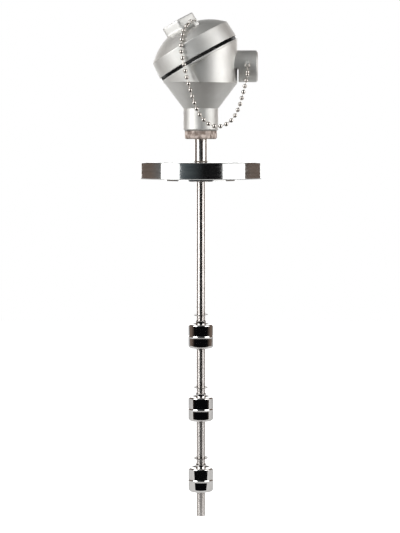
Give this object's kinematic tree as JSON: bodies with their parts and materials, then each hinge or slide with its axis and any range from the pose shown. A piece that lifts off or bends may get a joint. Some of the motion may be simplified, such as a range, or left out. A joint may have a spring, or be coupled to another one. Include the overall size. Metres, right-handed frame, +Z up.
{
  "type": "float switch",
  "caption": "Flange-mounted level switch: slanted screw-lid terminal head with conduit entry and ball chain, and cylindrical floats sliding on a long stem.",
  "frame": {"origin": "centre of the flange's raised sealing face", "axes": "+Z up along the stem's axis towards the terminal head, the stem hangs down along -Z, +X towards the conduit entry; the picture looks along +Y"},
  "size_m": [0.127, 0.127, 0.5154],
  "materials": {
    "cast_aluminium": "die-cast and turned, satin",
    "rubber_seal": "matte",
    "zinc_plated_iron": "rough casting, dull grey-brown",
    "stainless_drawn": "drawn tube, fine grain along it",
    "stainless_turned": "fine turned, bright",
    "stainless_weld": "rippled weld bead",
    "stainless_polished": "mirror polished",
    "spring_steel": "stamped",
    "nickel_plated_brass": "nickel plated, bright",
    "ferrite_magnet": "sintered, dark grey",
    "black_plastic": "moulded",
    "wire_insulation": "extruded",
    "reed_glass": "drawn glass tube"
  },
  "bodies": {
    "housing": {"bead_chain": "nickel_plated_brass", "block_screws": "nickel_plated_brass", "boss_chain_clasp": "nickel_plated_brass", "boss_chain_ring": "nickel_plated_brass", "earth_screw": "nickel_plated_brass", "earth_washer": "nickel_plated_brass", "flange": "stainless_turned", "head_body": "cast_aluminium", "lead_bottom_switch": "wire_insulation", "lead_common": "wire_insulation", "lead_middle_switch": "wire_insulation", "lead_top_switch": "wire_insulation", "lower_stop_ring_bottom": "spring_steel", "lower_stop_ring_middle": "spring_steel", "lower_stop_ring_top": "spring_steel", "reducing_bushing": "zinc_plated_iron", "reed_carrier": "black_plastic", "reed_switch_bottom": "reed_glass", "reed_switch_middle": "reed_glass", "reed_switch_top": "reed_glass", "riser_tube": "stainless_drawn", "riser_weld": "stainless_weld", "stem_collar": "stainless_drawn", "stem_end_plug": "stainless_drawn", "stem_tube": "stainless_drawn", "terminal_block": "black_plastic", "terminal_plates": "nickel_plated_brass", "terminal_screws": "nickel_plated_brass", "upper_stop_ring_bottom": "spring_steel", "upper_stop_ring_middle": "spring_steel", "upper_stop_ring_top": "spring_steel", "wire_grommet": "rubber_seal"},
    "seal": {"lid_gasket": "rubber_seal"},
    "lid": {"head_lid": "cast_aluminium", "lid_chain_clasp": "nickel_plated_brass", "lid_chain_ring": "nickel_plated_brass"},
    "float_top": {"float_top_lower_shell": "stainless_polished", "float_top_upper_shell": "stainless_polished", "float_top_sleeve": "stainless_polished", "float_top_magnet": "ferrite_magnet"},
    "float_middle": {"float_middle_lower_shell": "stainless_polished", "float_middle_upper_shell": "stainless_polished", "float_middle_sleeve": "stainless_polished", "float_middle_magnet": "ferrite_magnet"},
    "float_bottom": {"float_bottom_lower_shell": "stainless_polished", "float_bottom_upper_shell": "stainless_polished", "float_bottom_sleeve": "stainless_polished", "float_bottom_magnet": "ferrite_magnet"}
  },
  "joints": [
    {"name": "lid_lift", "type": "slide", "parent": "housing", "child": "seal", "axis": [-0.4939, 0, 0.8695], "range_m": [0, 0.008], "deforming": ["bead_chain"]},
    {"name": "lid_turn", "type": "hinge", "parent": "seal", "child": "lid", "pos_m": [-0.0022, 0, 0.1245], "axis": [-0.4939, 0, 0.8695], "range_deg": [0, 1440]},
    {"name": "float_top_slide", "type": "slide", "parent": "housing", "child": "float_top", "axis": [0, 0, 1], "range_m": [0, 0.0048]},
    {"name": "float_middle_slide", "type": "slide", "parent": "housing", "child": "float_middle", "axis": [0, 0, 1], "range_m": [0, 0.0048]},
    {"name": "float_bottom_slide", "type": "slide", "parent": "housing", "child": "float_bottom", "axis": [0, 0, 1], "range_m": [0, 0.0048]}
  ],
  "couplings": [
    {"joint": "lid_lift", "follows": "lid_turn", "m_per_rad": 0.00031831}
  ]
}
